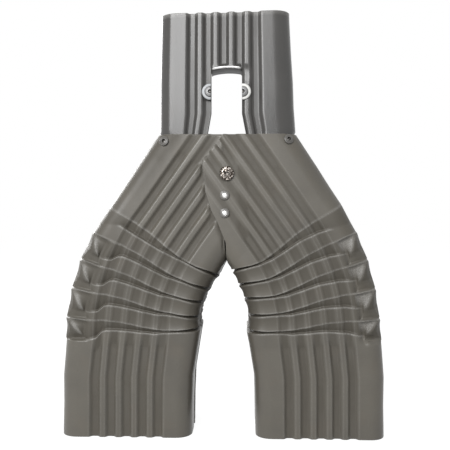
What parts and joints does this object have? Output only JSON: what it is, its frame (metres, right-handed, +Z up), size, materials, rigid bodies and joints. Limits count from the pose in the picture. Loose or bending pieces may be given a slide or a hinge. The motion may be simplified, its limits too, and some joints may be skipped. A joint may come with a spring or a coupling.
{
  "type": "downpipe rainwater diverter",
  "caption": "Y-shaped rainwater diverter for rectangular corrugated downpipe: an inlet tube with a cut window riveted into two pleated elbows that end in straight outlets.",
  "frame": {"origin": "centre of the object's footprint, on the plane of the outlet rims", "axes": "+Z up the inlet tube, +X from the left outlet towards the right one as seen from the front, front faces -Y"},
  "size_m": [0.2081, 0.0662, 0.2712],
  "materials": {
    "inlet_tube": "satin dark warm grey enamel",
    "left_elbow": "satin dark warm grey enamel",
    "right_elbow": "satin dark warm grey enamel",
    "centre_screw": "bright zinc plating",
    "window_washer_left": "bare, bright",
    "window_washer_right": "bare, bright",
    "lap_rivet_upper": "satin dark warm grey enamel",
    "lap_rivet_lower": "satin dark warm grey enamel",
    "back_lap_rivet_upper": "satin dark warm grey enamel",
    "back_lap_rivet_lower": "satin dark warm grey enamel",
    "back_lap_rivet_top": "satin dark warm grey enamel",
    "shoulder_rivet_left": "satin dark warm grey enamel",
    "shoulder_rivet_right": "satin dark warm grey enamel",
    "back_shoulder_rivet_left": "satin dark warm grey enamel",
    "back_shoulder_rivet_right": "satin dark warm grey enamel",
    "window_rivet_left": "bare, bright",
    "window_rivet_right": "bare, bright",
    "lap_rivet_upper_stem": "broken bare end",
    "lap_rivet_lower_stem": "broken bare end",
    "back_lap_rivet_upper_stem": "broken bare end",
    "back_lap_rivet_lower_stem": "broken bare end",
    "back_lap_rivet_top_stem": "broken bare end",
    "shoulder_rivet_left_stem": "broken bare end",
    "shoulder_rivet_right_stem": "broken bare end",
    "back_shoulder_rivet_left_stem": "broken bare end",
    "back_shoulder_rivet_right_stem": "broken bare end",
    "window_rivet_left_stem": "broken bare end",
    "window_rivet_right_stem": "broken bare end"
  },
  "bodies": {
    "root": {"inlet_tube": "inlet_tube", "left_elbow": "left_elbow", "right_elbow": "right_elbow", "centre_screw": "centre_screw", "window_washer_left": "window_washer_left", "window_washer_right": "window_washer_right", "lap_rivet_upper": "lap_rivet_upper", "lap_rivet_lower": "lap_rivet_lower", "back_lap_rivet_upper": "back_lap_rivet_upper", "back_lap_rivet_lower": "back_lap_rivet_lower", "back_lap_rivet_top": "back_lap_rivet_top", "shoulder_rivet_left": "shoulder_rivet_left", "shoulder_rivet_right": "shoulder_rivet_right", "back_shoulder_rivet_left": "back_shoulder_rivet_left", "back_shoulder_rivet_right": "back_shoulder_rivet_right", "window_rivet_left": "window_rivet_left", "window_rivet_right": "window_rivet_right", "lap_rivet_upper_stem": "lap_rivet_upper_stem", "lap_rivet_lower_stem": "lap_rivet_lower_stem", "back_lap_rivet_upper_stem": "back_lap_rivet_upper_stem", "back_lap_rivet_lower_stem": "back_lap_rivet_lower_stem", "back_lap_rivet_top_stem": "back_lap_rivet_top_stem", "shoulder_rivet_left_stem": "shoulder_rivet_left_stem", "shoulder_rivet_right_stem": "shoulder_rivet_right_stem", "back_shoulder_rivet_left_stem": "back_shoulder_rivet_left_stem", "back_shoulder_rivet_right_stem": "back_shoulder_rivet_right_stem", "window_rivet_left_stem": "window_rivet_left_stem", "window_rivet_right_stem": "window_rivet_right_stem"}
  },
  "joints": []
}
